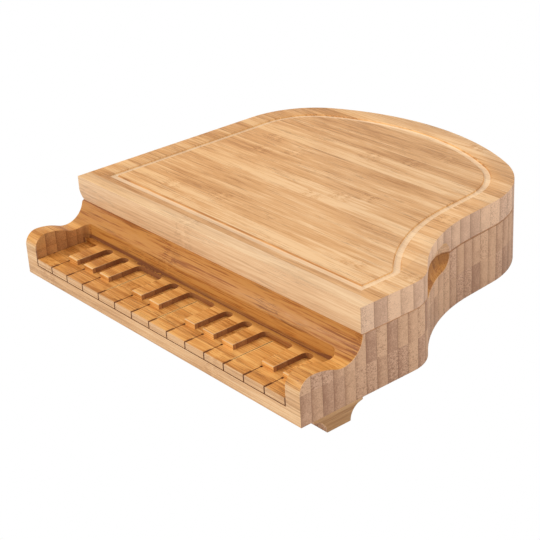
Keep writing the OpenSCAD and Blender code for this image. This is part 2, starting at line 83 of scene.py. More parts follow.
# Its patterns: how fine each is along a strip, across it and through it, per metre
patterns = {
    "slow": (9.0, 105.0, 90.0),
    "streak": (24.0, 760.0, 640.0),
    "fibre": (110.0, 2600.0, 2400.0),
    "rule": (7.0, 60.0, 1150.0),
    "ragged": (150.0, 620.0, 520.0),
    "hair": (30.0, 1250.0, 1000.0),
    "groups": (15.0, 85.0, 85.0),
    "fleck": (85.0, 1150.0, 950.0),
    "dots": (90.0, 1900.0, 1900.0),
    "whorl": (60.0, 560.0, 1350.0),
    "specks": (90.0, 700.0, 700.0),
    "scorch": (420.0, 420.0, 420.0),
}

# How strongly each pattern shows, in the long grain and in the end grain
figure = {
    "tone": 0.62,
    "slow": 1.9,
    "streak": 2.3,
    "coveStreak": 1.6,
    "fibre": 0.8,
    "rule": 1.9,
    "oiled": 0.7,
    "flank": 0.75,
    "middle": 0.16,
    "hairs": 0.9,
    "flecks": 0.8,
    "endTone": 0.62,
    "endDots": 1.9,
    "endSpecks": 1.1,
    "endWhorl": 4.8,
    "endShade": 0.62,
    "endSlow": 0.7,
    "endCoarse": 0.30,
    "seam": (0.20, 0.62),
    "level": 0.10,
    "oiledLevel": 0.35,
}

# Joints of the cane along a strip
joint = {
    "perMetre": 4.6,
    "spacing": 0.217,
    "shift": 7.0,
    "waver": 0.07,
}


# Short calls for building a node tree
class Wire:
    def __init__(self, tree):
        self.tree = tree

    def put(self, socket, value):
        if isinstance(value, bpy.types.NodeSocket):
            self.tree.links.new(value, socket)
        elif isinstance(value, tuple) and len(value) == 3 and len(socket.default_value) == 4:
            socket.default_value = (*value, 1.0)
        elif value is not None:
            socket.default_value = value

    def math(self, op, a, b=None, c=None):
        n = self.tree.nodes.new("ShaderNodeMath")
        n.operation = op
        for i, v in enumerate((a, b, c)):
            self.put(n.inputs[i], v)
        return n.outputs[0]

    def add(self, a, b):
        return self.math("ADD", a, b)

    def sub(self, a, b):
        return self.math("SUBTRACT", a, b)

    def mul(self, a, b):
        return self.math("MULTIPLY", a, b)

    def div(self, a, b):
        return self.math("DIVIDE", a, b)

    def larger(self, a, b):
        return self.math("MAXIMUM", a, b)

    def absolute(self, a):
        return self.math("ABSOLUTE", a)

    def product(self, first, *others):
        for other in others:
            first = self.mul(first, other)
        return first

    # a pattern's swing about its middle value
    def swing(self, pattern, weight):
        return self.mul(self.sub(pattern, 0.5), weight)

    def step(self, value, low, high, outLow=0.0, outHigh=1.0):
        n = self.tree.nodes.new("ShaderNodeMapRange")
        n.interpolation_type = "SMOOTHSTEP"
        for i, v in enumerate((value, low, high, outLow, outHigh)):
            self.put(n.inputs[i], v)
        return n.outputs[0]

    def vector(self, x=0.0, y=0.0, z=0.0):
        n = self.tree.nodes.new("ShaderNodeCombineXYZ")
        for i, v in enumerate((x, y, z)):
            self.put(n.inputs[i], v)
        return n.outputs[0]

    def scaled(self, parts, factors):
        return self.vector(*(self.mul(p, f) for p, f in zip(parts, factors)))

    def parts(self, vector):
        n = self.tree.nodes.new("ShaderNodeSeparateXYZ")
        self.put(n.inputs[0], vector)
        return n.outputs[0], n.outputs[1], n.outputs[2]

    def noise(self, vector, detail=2.0, rough=0.5, distortion=0.0, scale=1.0):
        n = self.tree.nodes.new("ShaderNodeTexNoise")
        self.put(n.inputs["Vector"], vector)
        self.put(n.inputs["Scale"], scale)
        self.put(n.inputs["Detail"], detail)
        self.put(n.inputs["Roughness"], rough)
        self.put(n.inputs["Distortion"], distortion)
        return n.outputs["Fac"]

    def randoms(self, vector):
        n = self.tree.nodes.new("ShaderNodeTexWhiteNoise")
        n.noise_dimensions = "3D"
        self.put(n.inputs["Vector"], vector)
        split = self.tree.nodes.new("ShaderNodeSeparateColor")
        self.tree.links.new(n.outputs["Color"], split.inputs[0])
        return n.outputs["Value"], split.outputs[0], split.outputs[1], split.outputs[2]

    def mix(self, factor, a, b, blend="MIX"):
        n = self.tree.nodes.new("ShaderNodeMix")
        n.data_type = "RGBA"
        n.blend_type = blend
        self.put(n.inputs[0], factor)
        self.put(n.inputs[6], a)
        self.put(n.inputs[7], b)
        return n.outputs[2]

    def grey(self, value):
        n = self.tree.nodes.new("ShaderNodeCombineColor")
        for i in range(3):
            self.put(n.inputs[i], value)
        return n.outputs[0]

    def bump(self, height, strength, distance):
        n = self.tree.nodes.new("ShaderNodeBump")
        self.put(n.inputs["Strength"], strength)
        self.put(n.inputs["Distance"], distance)
        self.put(n.inputs["Height"], height)
        return n.outputs["Normal"]


def shade(name):
    mat = bpy.data.materials.new(name)
    mat.use_nodes = True
    tree = mat.node_tree
    tree.nodes.clear()
    out = tree.nodes.new("ShaderNodeOutputMaterial")
    bsdf = tree.nodes.new("ShaderNodeBsdfPrincipled")
    tree.links.new(bsdf.outputs["BSDF"], out.inputs["Surface"])
    coord = tree.nodes.new("ShaderNodeTexCoord")
    return mat, Wire(tree), bsdf, coord


# Glued bamboo strips that run along the first axis of Place,
# with end grain where Facing points along it
def laminateGroup():
    group = bpy.data.node_groups.new("laminate", "ShaderNodeTree")
    floats = (
        ("Strip", 0.01), ("Phase", 0.0), ("Layer Low", 0.0), ("Layer Height", 1.0),
        ("Seed", 0.0), ("Gain", 1.0), ("End Gain", 1.0), ("Pale And Lit", 0.0), ("Oil", 0.0),
        ("Cove", 0.0), ("Burn And Shade", 0.0),
    )
    sockets = group.interface
    for name in ("Place", "Facing"):
        sockets.new_socket(name, in_out="INPUT", socket_type="NodeSocketVector")
    for name, value in floats:
        socket = sockets.new_socket(name, in_out="INPUT", socket_type="NodeSocketFloat")
        socket.default_value = value
    sockets.new_socket("Color", in_out="OUTPUT", socket_type="NodeSocketColor")
    sockets.new_socket("Roughness", in_out="OUTPUT", socket_type="NodeSocketFloat")
    sockets.new_socket("Height", in_out="OUTPUT", socket_type="NodeSocketFloat")
    source = group.nodes.new("NodeGroupInput")
    result = group.nodes.new("NodeGroupOutput")
    w = Wire(group)
    px, py, pz = w.parts(source.outputs["Place"])
    nx, ny, nz = w.parts(source.outputs["Facing"])
    strip, seed = source.outputs["Strip"], source.outputs["Seed"]
    oil, cove = source.outputs["Oil"], source.outputs["Cove"]
    burnAndShade, paleAndLit = source.outputs["Burn And Shade"], source.outputs["Pale And Lit"]
    layers = w.div(w.sub(pz, source.outputs["Layer Low"]), source.outputs["Layer Height"])
    layer = w.math("FLOOR", layers)
    across = w.div(w.sub(py, source.outputs["Phase"]), strip)
    cell = w.math("FLOOR", across)
    inStrip = w.math("FRACT", across)
    drawn = w.randoms(w.vector(w.add(cell, 0.5), w.add(layer, 0.5), seed))
    tone, shift, knotty, porous = drawn

    # long grain: slow bands, streaks and fine fibres, all drawn out along the strip
    along = w.add(px, w.mul(shift, 3.0))
    slow = w.noise(w.scaled((along, py, pz), patterns["slow"]), 2.0)
    streak = w.noise(w.scaled((along, py, pz), patterns["streak"]), 3.0, 0.62)
    fibre = w.noise(w.scaled((along, py, pz), patterns["fibre"]), 2.0, 0.6)
    grain = w.add(w.swing(tone, figure["tone"]), w.swing(slow, figure["slow"]))
    streaked = w.add(figure["streak"], w.mul(cove, figure["coveStreak"]))
    grain = w.add(grain, w.swing(streak, streaked))
    grain = w.add(grain, w.swing(fibre, figure["fibre"]))
    rule = w.noise(w.scaled((along, py, pz), patterns["rule"]), 1.0, 0.5)
    ruled = w.larger(w.step(w.absolute(ny), 0.6, 0.9), cove)
    grain = w.add(grain, w.mul(w.swing(rule, ruled), figure["rule"]))
    grain = w.mul(grain, w.add(1.0, w.mul(oil, figure["oiled"])))

    # joints of the cane: a faint light middle between darker, ragged flanks
    ragged = w.noise(w.scaled((px, py, pz), patterns["ragged"]), 3.0, 0.65, 1.2)
    turn = w.math("FRACT", w.add(w.mul(px, joint["perMetre"]), w.mul(knotty, joint["shift"])))
    reach = w.swing(w.add(turn, w.swing(ragged, joint["waver"])), joint["spacing"])
    away = w.absolute(reach)
    jointed = w.step(knotty, 0.35, 0.45)
    flank = w.product(
        w.step(away, 0.0006, 0.003), w.step(away, 0.016, 0.003),
        jointed, w.step(ragged, 0.46, 0.62),
    )
    middle = w.mul(w.step(away, 0.0016, 0.0002), jointed)
    grain = w.add(grain, w.mul(flank, figure["flank"]))
    grain = w.sub(grain, w.mul(middle, figure["middle"]))

    # dark hairs in loose groups
    hair = w.noise(w.scaled((along, py, pz), patterns["hair"]), 2.0, 0.5)
    groups = w.noise(w.scaled((along, py, pz), patterns["groups"]), 1.0)
    hairs = w.mul(w.step(hair, 0.56, 0.66), w.step(groups, 0.46, 0.62))
    fleck = w.noise(w.scaled((along, py, pz), patterns["fleck"]), 2.0, 0.55, 0.9)
    fleck = w.mul(
        w.step(fleck, 0.57, 0.66),
        w.step(w.add(groups, w.mul(flank, 0.3)), 0.50, 0.64),
    )
    hairs = w.larger(w.mul(hairs, figure["hairs"]), w.mul(fleck, figure["flecks"]))

    wood = w.mix(w.step(grain, -0.62, 0.16), bamboo["pale"], bamboo["mid"])
    wood = w.mix(w.step(grain, 0.05, 0.95), wood, bamboo["deep"])
    wood = w.mix(w.mul(hairs, w.add(0.5, w.mul(oil, 0.25))), wood, bamboo["streak"])
    # paler wood, and painted highlights on the lid's groove and the black keys' edges
    wood = w.mix(paleAndLit, wood, bamboo["paleAndLitTone"])
    wood = w.mix(1.0, wood, w.grey(source.outputs["Gain"]), "MULTIPLY")

    # end grain: each block shaded from one side, some of them coarse
    dots = w.noise(w.scaled((px, py, pz), patterns["dots"]), 2.0, 0.6)
    whorl = w.noise(w.scaled((px, py, pz), patterns["whorl"]), 2.0, 0.6, 1.0)
    specks = w.noise(w.scaled((px, py, pz), patterns["specks"]), 2.0, 0.6)
    coarse = w.larger(w.step(porous, 0.66, 0.72), w.step(paleAndLit, 0.24, 0.28))
    coarse = w.mul(coarse, w.sub(1.0, w.mul(oil, 0.8)))
    shaded = w.math("POWER", w.sub(1.0, inStrip), 3.0)
    block = w.add(w.swing(tone, figure["endTone"]), w.swing(dots, figure["endDots"]))
    block = w.add(block, w.swing(specks, figure["endSpecks"]))
    block = w.add(block, w.mul(w.swing(whorl, coarse), figure["endWhorl"]))
    block = w.add(block, w.mul(shaded, figure["endShade"]))
    block = w.add(block, w.swing(slow, figure["endSlow"]))
    block = w.sub(block, w.mul(coarse, figure["endCoarse"]))
    endWood = w.mix(w.step(block, -0.55, 0.85), bamboo["endPale"], bamboo["endDeep"])
    tint = w.mix(w.step(shift, 0.2, 0.8), bamboo["creamTint"], bamboo["violetTint"])
    endWood = w.mix(1.0, endWood, tint, "MULTIPLY")
    endWood = w.mix(w.mul(paleAndLit, 0.9), endWood, bamboo["endBleached"])
    endWood = w.mix(1.0, endWood, w.grey(source.outputs["End Gain"]), "MULTIPLY")
    flat = w.absolute(nz)
    endOn = w.step(w.sub(w.absolute(nx), w.mul(flat, 0.8)), 0.15, 0.60)
    color = w.mix(endOn, wood, endWood)

    # glue lines between strips and between layers
    side = w.mul(w.math("MINIMUM", inStrip, w.sub(1.0, inStrip)), strip)
    upright = w.mul(w.math("FRACT", layers), source.outputs["Layer Height"])
    seam = w.step(side, 0.00042, 0.00010)
    level = w.mul(w.step(upright, 0.00045, 0.00012), w.sub(1.0, w.step(flat, 0.5, 0.8)))
    seamShown = w.mul(seam, w.step(endOn, 0.0, 1.0, *figure["seam"]))
    seamShown = w.mul(seamShown, w.step(shift, 0.1, 0.9, 0.25, 1.0))
    levelShown = w.mul(level, w.add(figure["level"], w.mul(oil, figure["oiledLevel"])))
    color = w.mix(w.larger(seamShown, levelShown), color, bamboo["glue"])
    color = w.mix(oil, color, w.mix(1.0, color, bamboo["oilTint"], "MULTIPLY"))
    color = w.mix(cove, color, w.mix(1.0, color, bamboo["coveTint"], "MULTIPLY"))
    # dark marks: burn marks together with painted shade in the cuts, slots and seams
    color = w.mix(burnAndShade, color, bamboo["burntAndShade"])
    group.links.new(color, result.inputs["Color"])

    rough = w.add(w.step(fibre, 0.3, 0.7, 0.40, 0.55), w.mul(endOn, 0.14))
    rough = w.add(rough, w.mul(burnAndShade, 0.28))
    group.links.new(rough, result.inputs["Roughness"])
    height = w.add(w.mul(fibre, 0.45), w.mul(streak, 0.35))
    height = w.add(height, w.product(dots, endOn, 0.8))
    height = w.add(height, w.product(whorl, coarse, endOn, 2.4))
    height = w.sub(height, w.mul(w.larger(seam, level), 0.6))
    group.links.new(height, result.inputs["Height"])
    return group


laminate = laminateGroup()


def bambooMaterial(name, values, along="X", masks=None):
    mat, w, bsdf, coord = shade(name)
    place, facing = coord.outputs["Object"], coord.outputs["Normal"]
    node = w.tree.nodes.new("ShaderNodeGroup")
    node.node_tree = laminate
    if along == "Y":
        x, y, z = w.parts(place)
        place = w.vector(y, x, z)
        x, y, z = w.parts(facing)
        facing = w.vector(y, x, z)
    w.put(node.inputs["Place"], place)
    w.put(node.inputs["Facing"], facing)
    for key, value in values.items():
        node.inputs[key].default_value = value
    if masks:
        for key, value in masks(w, place, facing).items():
            w.put(node.inputs[key], value)
    w.put(bsdf.inputs["Base Color"], node.outputs["Color"])
    w.put(bsdf.inputs["Roughness"], node.outputs["Roughness"])
    w.put(bsdf.inputs["Normal"], w.bump(node.outputs["Height"], 0.30, 0.00035))
    bsdf.inputs["Specular IOR Level"].default_value = 0.32
    return mat


# 1 on the walls of the finger scoop, just behind the outline's bend
def scoopMask(w, x, y):
    cx, cy = board["bendCentre"]
    radius = board["bendRadius"]
    dx, dy = w.sub(x, cx), w.sub(y, cy)
    reach = w.math("SQRT", w.add(w.mul(dx, dx), w.mul(dy, dy)))
    behind = w.step(reach, radius + 0.00005, radius + 0.00030)
    near = w.step(reach, radius + 0.0075, radius + 0.0068)
    sx, sy = w.sub(x, board["scoop"][0]), w.sub(y, board["scoop"][1])
    aside = w.math("SQRT", w.add(w.mul(sx, sx), w.mul(sy, sy)))
    return w.product(behind, near, w.step(aside, 0.034, 0.032))


# Marks on the base, painted shade and highlights among them: their places in metres, and how
# strong each of them is
baseMarks = {
    "wideEnd": 0.0072,
    "thinEnd": 0.0460,
    "dimpleAt": 0.0168,
    "wideBurnAndShade": 0.75,
    "thinBurnAndShade": 0.5,
    "rimBurnAndShade": 0.75,
    "slotShade": (0.40, 0.86),
    "wallDarkening": (0.85, 0.45),
    "footFrom": 0.0349,
    "footTall": 0.0011,
    "footLeft": 0.0022,
    "footRight": 0.0030,
    "footWaver": 0.0010,
    "coveFootShade": 0.95,
    "tornAt": -0.066,
    "partingShadow": (0.08, 0.62),
    "burnAndShade": 0.9,
    "keyEdge": 0.0175,
    "keySide": 0.0123,
    "edgeHighlight": 0.42,
    "highlightUnoiled": 0.55,
    "railBleach": 0.16,
    "lightBleach": 0.60,
    "scoopCove": 0.9,
    "noseShade": 0.4,
}


def baseMasks(w, place, facing):
    x, y, z = w.parts(place)
    aside = w.absolute(x)
    deep = w.sub(y, board["front"])
    sideways, endways, upward = (w.absolute(part) for part in w.parts(facing))
    halfWidth, lidFront, cheek = board["halfWidth"], board["lidFront"], board["cheekInside"]
    inEnds = w.step(aside, halfWidth - 0.00008, halfWidth - 0.00050)
    underLid = w.step(y, lidFront + 0.0034, lidFront + 0.0019)
    between = w.step(aside, cheek + 0.0008, cheek + 0.0004)

    # the oiled bed, cove and scoop
    scoop = w.mul(scoopMask(w, x, y), w.step(z, board["baseTop"], board["baseTop"] - 0.0003))
    oil = w.product(w.step(deep, 0.0001, 0.0016), underLid, inEnds)
    cove = w.product(w.step(deep, 0.0440, 0.0475), underLid, inEnds)
    # painted shade: the cheeks' rounded noses take the cove tint to dim their lit tops,
    # together with their oiled tone
    nose = w.product(
        w.step(aside, cheek - 0.0004, cheek + 0.0002), w.step(deep, 0.014, 0.006),
        w.step(z, 0.0355, 0.0368), inEnds,
    )

    # dark in the cuts between white keys: burn marks together with painted shade inside the
    # cuts, paler where no black key ends them
    cut = w.div(w.add(x, cheek), board["keyPitch"])
    gap = w.absolute(w.sub(w.math("FRACT", w.add(cut, 0.5)), 0.5))
    gap = w.mul(gap, board["keyPitch"])
    openCut = w.math("COMPARE", cut, board["openCuts"][0], 0.2)
    for k in board["openCuts"][1:]:
        openCut = w.larger(openCut, w.math("COMPARE", cut, k, 0.2))
    pale = w.mul(openCut, w.step(deep, 0.0080, 0.0095))
    dark = w.sub(1.0, pale)
    inside = w.mul(w.step(deep, 0.00005, 0.0002), between)
    whiteTop, engraved = board["whiteTop"], board["engravedLine"]
    below = w.mul(
        w.step(z, whiteTop + 0.0004, whiteTop + 0.0002),
        w.step(z, engraved - 0.0010, engraved - 0.0006),
    )
    wideEnd, thinEnd = baseMarks["wideEnd"], baseMarks["thinEnd"]
    beforeEnd = w.step(deep, thinEnd + 0.0005, thinEnd)
    wide = w.mul(w.step(gap, 0.00085, 0.00070), w.step(deep, wideEnd + 0.0005, wideEnd))
    thin = w.mul(w.step(gap, 0.00060, 0.00046), beforeEnd)
    fromDimple = w.absolute(w.sub(deep, baseMarks["dimpleAt"]))
    dimple = w.product(
        w.step(gap, 0.0012, 0.0009), w.step(fromDimple, 0.0012, 0.0009),
        w.sub(1.0, openCut),
    )
    burnAndShade = w.larger(
        w.mul(wide, baseMarks["wideBurnAndShade"]),
        w.product(thin, baseMarks["thinBurnAndShade"], dark),
    )
    burnAndShade = w.larger(burnAndShade, dimple)
    line = w.mul(
        w.step(w.absolute(w.sub(z, engraved)), 0.00055, 0.00040),
        w.step(deep, 0.0013, 0.0011),
    )
    burnAndShade = w.product(w.larger(burnAndShade, line), inside, below)
    atTop = w.step(z, whiteTop + 0.0005, whiteTop + 0.0001)
    rim = w.mul(w.step(gap, 0.0019, 0.0007), w.step(deep, 0.0084, 0.0070))
    rim = w.larger(rim, w.product(w.step(gap, 0.0008, 0.0003), 0.5, dark))
    rim = w.product(rim, inside, w.step(deep, 0.0175, 0.0165), atTop)
    burnAndShade = w.larger(burnAndShade, w.mul(rim, baseMarks["rimBurnAndShade"]))

    # painted shade on the side walls of the slots, darker towards their back ends, and the
    # lower back wall of the cove darkened, most at the left
    ragged = w.noise(w.scaled((x, y, z), patterns["scorch"]), 3.0, 0.65, 0.8)
    blackTop = board["blackTop"]
    sides = w.product(
        w.step(sideways, 0.5, 0.8), w.step(z, blackTop + 0.0006, blackTop),
        w.step(aside, cheek - 0.0005, cheek - 0.0009), w.step(deep, 0.060, 0.055),
        w.step(deep, 0.026, 0.040, *baseMarks["slotShade"]),
    )
    walls = w.product(
        cove, w.step(z, 0.0400, 0.0360), w.step(endways, 0.4, 0.8),
        w.step(x, -0.136, -0.130), w.step(x, -0.05, 0.12, *baseMarks["wallDarkening"]),
    )
    burnAndShade = w.larger(burnAndShade, w.larger(sides, walls))

    # painted shade as a dark line at the foot of the cove, taller at both ends, and a torn
    # patch
    tall = w.add(
        baseMarks["footTall"], w.step(x, -0.02, -0.09, 0.0, baseMarks["footLeft"])
    )
    tall = w.add(tall, w.step(x, 0.125, 0.150, 0.0, baseMarks["footRight"]))
    tall = w.add(tall, w.swing(ragged, baseMarks["footWaver"]))
    rise = w.sub(z, baseMarks["footFrom"])
    foot = w.product(
        w.step(w.sub(rise, tall), 0.0003, -0.0003), w.step(rise, -0.0001, 0.0001),
        w.step(deep, 0.0496, 0.0502), between, w.step(upward, 0.98, 0.93), underLid,
    )
    burnAndShade = w.larger(burnAndShade, w.mul(foot, baseMarks["coveFootShade"]))
    fromTorn = w.absolute(w.sub(x, baseMarks["tornAt"]))
    torn = w.product(
        w.step(fromTorn, 0.026, 0.014), w.step(deep, 0.0468, 0.0482),
        w.step(z, 0.0395, 0.0365), w.step(ragged, 0.40, 0.50), underLid,
        w.step(z, 0.0300, 0.0304),
    )
    burnAndShade = w.larger(burnAndShade, torn)

    # painted shadow in the open seam under the lid, growing towards the back
    parting = w.mul(w.step(z, 0.0616, 0.0621), w.step(upward, 0.97, 0.90))
    parting = w.mul(parting, w.step(y, -0.04, 0.0, *baseMarks["partingShadow"]))
    burnAndShade = w.larger(burnAndShade, parting)

    # painted highlights along the top front and side edges of the black keys, where the oil
    # is also taken off
    onTop = w.mul(
        w.step(z, blackTop - 0.0007, blackTop - 0.0003),
        w.step(z, blackTop + 0.0004, blackTop + 0.0002),
    )
    right = w.mul(w.math("FRACT", cut), board["keyPitch"])
    edge = w.step(w.absolute(w.sub(deep, baseMarks["keyEdge"])), 0.0008, 0.0004)
    along = w.mul(
        w.step(w.absolute(w.sub(right, baseMarks["keySide"])), 0.0007, 0.0003),
        w.step(deep, 0.046, 0.022),
    )
    edge = w.product(
        w.larger(edge, w.mul(along, 0.7)), onTop,
        w.step(aside, cheek - 0.0004, cheek - 0.0008), w.step(deep, 0.0168, 0.0170),
    )

    # the pale front rail and the pale rims of the cuts with no black key
    rail = w.mul(w.step(deep, 0.0006, 0.0003), w.sub(1.0, inside))
    paleAndLit = w.larger(
        w.mul(rail, baseMarks["railBleach"]), w.mul(edge, baseMarks["edgeHighlight"])
    )
    light = w.product(w.step(gap, 0.0013, 0.0007), beforeEnd, pale, inside, atTop)
    paleAndLit = w.larger(paleAndLit, w.mul(light, baseMarks["lightBleach"]))
    oil = w.mul(w.larger(oil, scoop), w.sub(1.0, w.mul(edge, baseMarks["highlightUnoiled"])))
    hollow = w.larger(
        w.mul(scoop, baseMarks["scoopCove"]), w.mul(nose, baseMarks["noseShade"])
    )
    return {
        "Oil": oil,
        "Cove": w.larger(cove, hollow),
        "Burn And Shade": w.mul(burnAndShade, baseMarks["burnAndShade"]),
        "Pale And Lit": paleAndLit,
    }


# Marks on the lid, painted light and shadow among them: how strong each of them is
lidMarks = {
    "grooveLight": 0.45,
    "stripBleach": 0.30,
    "endBleach": 0.20,
    "scoopBleach": 0.42,
    "scoopOil": 0.35,
    "warmOil": 0.38,
    "outlineOil": 0.75,
    "partingShadow": (0.04, 0.40),
}


def lidMasks(w, place, facing):
    x, y, z = w.parts(place)
    facings = w.parts(facing)
    endways, upward = w.absolute(facings[0]), facings[2]
    up = w.step(upward, 0.2, 0.5)
    below = w.sub(board["lidTop"], z)
    groove = w.mul(w.step(below, 0.0009, 0.0013), up)
    outline = w.product(w.step(below, 0.0001, 0.0004), w.step(below, 0.0012, 0.0009), up)
    frontStrip = w.step(y, board["lidFront"] + 0.0124, board["lidFront"] + 0.0118)
    scoop = w.mul(scoopMask(w, x, y), w.step(z, 0.0740, 0.0736))
    # painted light: the juice groove made paler than the board around it
    paleAndLit = w.larger(
        w.mul(groove, lidMarks["grooveLight"]), w.mul(frontStrip, lidMarks["stripBleach"])
    )
    paleAndLit = w.larger(paleAndLit, w.mul(w.step(endways, 0.5, 0.8), lidMarks["endBleach"]))
    paleAndLit = w.larger(paleAndLit, w.mul(scoop, lidMarks["scoopBleach"]))
    warmth = w.sub(lidMarks["warmOil"], w.mul(groove, lidMarks["warmOil"]))
    warm = w.product(w.step(x, 0.03, -0.17), up, warmth)
    oil = w.larger(w.mul(scoop, lidMarks["scoopOil"]), warm)
    oil = w.larger(oil, w.mul(outline, lidMarks["outlineOil"]))
    # painted shadow in the open seam above the base, growing towards the back
    parting = w.mul(w.step(z, 0.0636, 0.0631), w.step(w.absolute(upward), 0.97, 0.90))
    burnAndShade = w.mul(parting, w.step(y, -0.04, 0.0, *lidMarks["partingShadow"]))
    return {"Oil": oil, "Pale And Lit": paleAndLit, "Burn And Shade": burnAndShade}


# Metal brushed along one axis
def metalMaterial(name, color, rough, axis):
    mat, w, bsdf, coord = shade(name)
    scales = {"X": (40.0, 3000.0, 3000.0), "Y": (3000.0, 40.0, 3000.0)}[axis]
    brush = w.noise(w.scaled(w.parts(coord.outputs["Object"]), scales))
    smear = w.noise(coord.outputs["Object"], 3.0, 0.5, 0.0, 60.0)
    darker = tuple(0.84 * c for c in color)
    roughness = w.step(brush, 0.3, 0.7, rough, rough + 0.12)
    w.put(bsdf.inputs["Base Color"], w.mix(w.step(brush, 0.3, 0.7), darker, color))
    w.put(bsdf.inputs["Roughness"], w.add(roughness, w.mul(smear, 0.08)))
    bsdf.inputs["Metallic"].default_value = 1.0
    w.put(bsdf.inputs["Normal"], w.bump(brush, 0.12, 0.0001))
    return mat


def rubberMaterial(name):
    mat, w, bsdf, coord = shade(name)
    grain = w.noise(coord.outputs["Object"], 2.0, 0.5, 0.0, 900.0)
    color = w.mix(grain, (0.010, 0.010, 0.010), (0.024, 0.023, 0.022))
    w.put(bsdf.inputs["Base Color"], color)
    bsdf.inputs["Roughness"].default_value = 0.75
    w.put(bsdf.inputs["Normal"], w.bump(grain, 0.2, 0.0002))
    return mat


looks = {
    "lid": bambooMaterial("lidBamboo", {
        "Strip": bamboo["lidStrip"], "Phase": board["lidFront"],
        "Layer Low": board["lidBottom"] - 0.03, "Layer Height": 0.2,
        "Seed": 3.0, "Gain": 1.01, "End Gain": 1.22,
    }, masks=lidMasks),
    "base": bambooMaterial("baseBamboo", {
        "Strip": bamboo["baseStrip"], "Phase": board["front"],
        "Layer Low": board["footHeight"], "Layer Height": board["layer"], "Seed": 11.0,
    }, masks=baseMasks),
    # the feet are a darker copy of the base bamboo: painted shade
    "foot": bambooMaterial("footBamboo", {
        "Strip": bamboo["baseStrip"], "Phase": board["halfWidth"],
        "Layer Low": -0.1, "Layer Height": 0.5,
        "Seed": 21.0, "Gain": 0.85, "Pale And Lit": 0.1,
    }, along="Y"),
    "handle": bambooMaterial("handleWood", {
        "Strip": 0.05, "Phase": 0.013,
        "Layer Low": -0.1, "Layer Height": 0.5, "Seed": 33.0, "Oil": 0.75,
    }),
    "brass": metalMaterial("brass", (0.72, 0.50, 0.20), 0.28, "Y"),
    "steel": metalMaterial("toolSteel", (0.62, 0.62, 0.62), 0.22, "X"),
    "ferrule": metalMaterial("ferruleSteel", (0.68, 0.68, 0.68), 0.12, "Y"),
    "zinc": metalMaterial("zincSteel", (0.55, 0.56, 0.58), 0.3, "Y"),
    "rubber": rubberMaterial("padRubber"),
}
nodeLook = {
    "lid_board": "lid",
    "base_upper_board": "base",
    "base_lower_board": "base",
    "foot_front_left": "foot",
    "foot_front_right": "foot",
    "foot_tail": "foot",
    "foot_screws": "zinc",
    "lid_pads": "rubber",
    "hinge_base_screws": "brass",
    "hinge_lid_screws": "brass",
}
for side in ("front", "back"):
    for piece in ("base_leaf", "lid_leaf", "pin"):
        nodeLook[side + "_hinge_" + piece] = "brass"
for tool, blade in (("knife", "blade"), ("fork", "tines"), ("spade", "blade")):
    nodeLook[tool + "_" + blade] = "steel"
    nodeLook[tool + "_ferrule"] = "ferrule"
    nodeLook[tool + "_handle"] = "handle"
for name, look in nodeLook.items():
    for slot in nodes[name].material_slots:
        slot.material = looks[look]
print("stage: materials made")

# Rounding of the wooden edges: widths in metres, angles in degrees
easing = {
    "lid": 0.0007,
    "upper": 0.0006,
    "lower": 0.0003,
    "foot": 0.0004,
    "sharp": 32,
    "flat": 0.6,
    "merge": 2e-6,
    "riserMerge": 6e-6,
    "riserLean": 4e-6,
    "level": 1e-5,
}


# The risers of a stepped groove under this height become slopes
def sloped(work, top):
    lowest = top - board["grooveDepth"] - 0.0001
    merge, level = easing["riserMerge"], easing["level"]
    for edge in list(work.edges):
        a, b = edge.verts
        lean = abs(a.co.x - b.co.x) + abs(a.co.y - b.co.y)
        if lean > easing["riserLean"] or abs(a.co.z - b.co.z) < level:
            continue
        high, low = max(a.co.z, b.co.z), min(a.co.z, b.co.z)
        if low < lowest:
            continue
        a.co.z = b.co.z = high if high > top - level else (high + low) / 2
    bmesh.ops.remove_doubles(work, verts=work.verts, dist=merge)
    bmesh.ops.dissolve_degenerate(work, edges=work.edges, dist=merge)
    openEdges = [edge for edge in work.edges if edge.is_boundary]
    bmesh.ops.holes_fill(work, edges=openEdges, sides=0)


# A copy of a CAD node with its sharp edges rounded a little, apart from a glued seam
def eased(node, body, look, width, slopes=None, glued=None):
    mesh = nodes[node].data.copy()
    work = bmesh.new()
    work.from_mesh(mesh)
    bmesh.ops.remove_doubles(work, verts=work.verts, dist=easing["merge"])
    if slopes:
        sloped(work, slopes)
    flat = math.radians(easing["flat"])
    bmesh.ops.dissolve_limit(work, angle_limit=flat, verts=work.verts, edges=work.edges)
    weight = work.edges.layers.float.new("bevel_weight_edge")
    for edge in work.edges:
        if edge.calc_face_angle(0.0) < math.radians(easing["sharp"]):
            continue
        heights = [v.co.z for v in edge.verts]
        if glued is not None and all(abs(z - glued) < easing["level"] for z in heights):
            edge.smooth = False
        else:
            edge[weight] = 1.0
    work.to_mesh(mesh)
    work.free()
    for poly in mesh.polygons:
        poly.use_smooth = True
    obj = bpy.data.objects.new(node + "_eased", mesh)
    bpy.context.scene.collection.objects.link(obj)
    mod = obj.modifiers.new("ease", "BEVEL")
    mod.width = width
    mod.segments = 2
    mod.limit_method = "WEIGHT"
    mod.miter_outer = "MITER_ARC"
    mod.use_clamp_overlap = True
    mod.harden_normals = True
    mesh.materials.clear()
    mesh.materials.append(looks[look])
    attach(obj, body)
    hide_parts(node)


eased("lid_board", "lid", "lid", easing["lid"], board["lidTop"])
seam = board["footHeight"] + board["layer"]
eased("base_upper_board", "base", "base", easing["upper"], glued=seam)
eased("base_lower_board", "base", "base", easing["lower"], glued=seam)
for corner in ("front_left", "front_right", "tail"):
    eased("foot_" + corner, "base", "foot", easing["foot"])
print("stage: boards eased")

